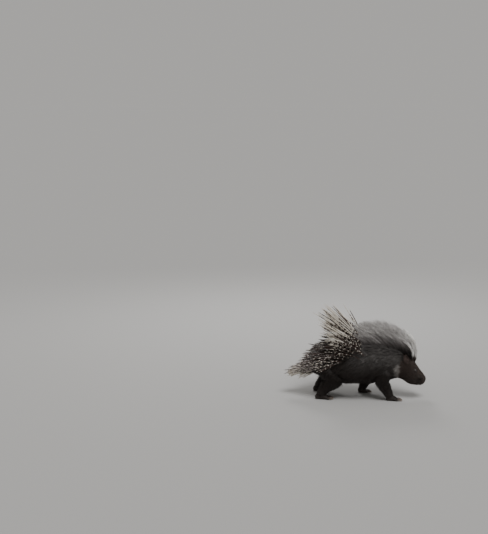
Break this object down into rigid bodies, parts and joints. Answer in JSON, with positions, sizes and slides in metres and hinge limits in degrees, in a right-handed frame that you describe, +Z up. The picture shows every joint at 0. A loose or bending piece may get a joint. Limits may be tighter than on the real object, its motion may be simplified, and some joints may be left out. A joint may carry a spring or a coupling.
{
  "type": "crested porcupine model",
  "caption": "Life-size still model of a crested porcupine in mid stride, head low, nape crest half raised and long banded quills fanned up over the back.",
  "frame": {"origin": "on the floor, under the middle of the model's own box", "axes": "+X the way the animal faces, +Y its left side, +Z up"},
  "size_m": [0.7358, 0.3596, 0.5029],
  "materials": {
    "dark_bristle": "coarse flattened bristles, blackish brown",
    "quill": "smooth keratin, banded blackish brown and cream, cream tips",
    "crest": "long stiff bristles, dark at the root and white at the tip",
    "skin": "dull dark skin",
    "claw": "horn, dark brown, paler at the tip",
    "eye": "wet black"
  },
  "bodies": {
    "root": {"head": "dark_bristle", "neck": "dark_bristle", "torso": "dark_bristle", "tail": "quill", "ear_left": "skin", "ear_right": "skin", "eye_left": "eye", "eye_right": "eye", "fore_leg_left": "dark_bristle", "fore_foot_left": "skin", "fore_leg_right": "dark_bristle", "fore_foot_right": "skin", "hind_leg_left": "dark_bristle", "hind_foot_left": "skin", "hind_leg_right": "dark_bristle", "hind_foot_right": "skin"}
  },
  "joints": []
}
